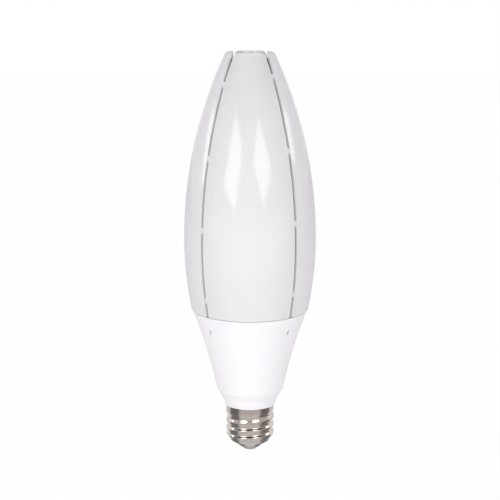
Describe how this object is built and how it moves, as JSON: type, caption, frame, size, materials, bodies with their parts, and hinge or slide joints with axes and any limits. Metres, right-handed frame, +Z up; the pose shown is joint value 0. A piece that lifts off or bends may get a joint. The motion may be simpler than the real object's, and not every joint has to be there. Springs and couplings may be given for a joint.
{
  "type": "led light bulb",
  "caption": "Spindle-shaped LED lamp: lobed milky diffuser covers with narrow gaps round a finned metal column, a tapered white driver housing and a large screw cap.",
  "frame": {"origin": "middle of the contact's flat face, the lamp's lowest point", "axes": "+Z up the lamp from the cap to the crown, front cover towards -Y, right cover towards +X"},
  "size_m": [0.108, 0.108, 0.33],
  "materials": {
    "milky_cover": "glossy milky polycarbonate",
    "white_housing": "glossy white moulding",
    "nickel_shell": "bright nickel plate, drawn shell",
    "tinned_contact": "dull tinned plate",
    "cap_ring": "dull beige-grey",
    "white_carrier": "matte white moulding",
    "dark_crown": "dark moulding",
    "cast_sink": "plain casting",
    "screw_steel": "zinc plated",
    "led_board": "white solder mask on metal",
    "led_package": "yellow phosphor",
    "circuit_board": "green laminate",
    "ferrite": "dull dark grey",
    "winding": "yellow tape",
    "black_sleeve": "black sleeve",
    "film_case": "yellow case",
    "varistor_coat": "blue coating",
    "fuse_body": "white body",
    "black_package": "black package",
    "red_wire": "red sleeve",
    "black_wire": "black sleeve",
    "white_wire": "white sleeve"
  },
  "bodies": {
    "root": {"base_plate": "white_carrier", "bulk_capacitors": "black_sleeve", "cap_insulator": "cap_ring", "centre_contact": "tinned_contact", "crown": "dark_crown", "diffuser_front": "milky_cover", "diffuser_left": "milky_cover", "diffuser_rear": "milky_cover", "diffuser_right": "milky_cover", "driver_board": "circuit_board", "driver_housing": "white_housing", "film_capacitor": "film_case", "fuse": "fuse_body", "heat_sink": "cast_sink", "heat_sink_screws": "screw_steel", "input_choke": "ferrite", "led_board_front": "led_board", "led_board_left": "led_board", "led_board_rear": "led_board", "led_board_right": "led_board", "led_return_wire": "black_wire", "led_supply_wire": "red_wire", "leds_front": "led_package", "leds_left": "led_package", "leds_rear": "led_package", "leds_right": "led_package", "link_wires": "white_wire", "live_wire": "red_wire", "neutral_wire": "black_wire", "power_switch": "black_package", "rectifier": "black_package", "screw_shell": "nickel_shell", "transformer_coil": "winding", "transformer_core": "ferrite", "varistor": "varistor_coat"}
  },
  "joints": []
}
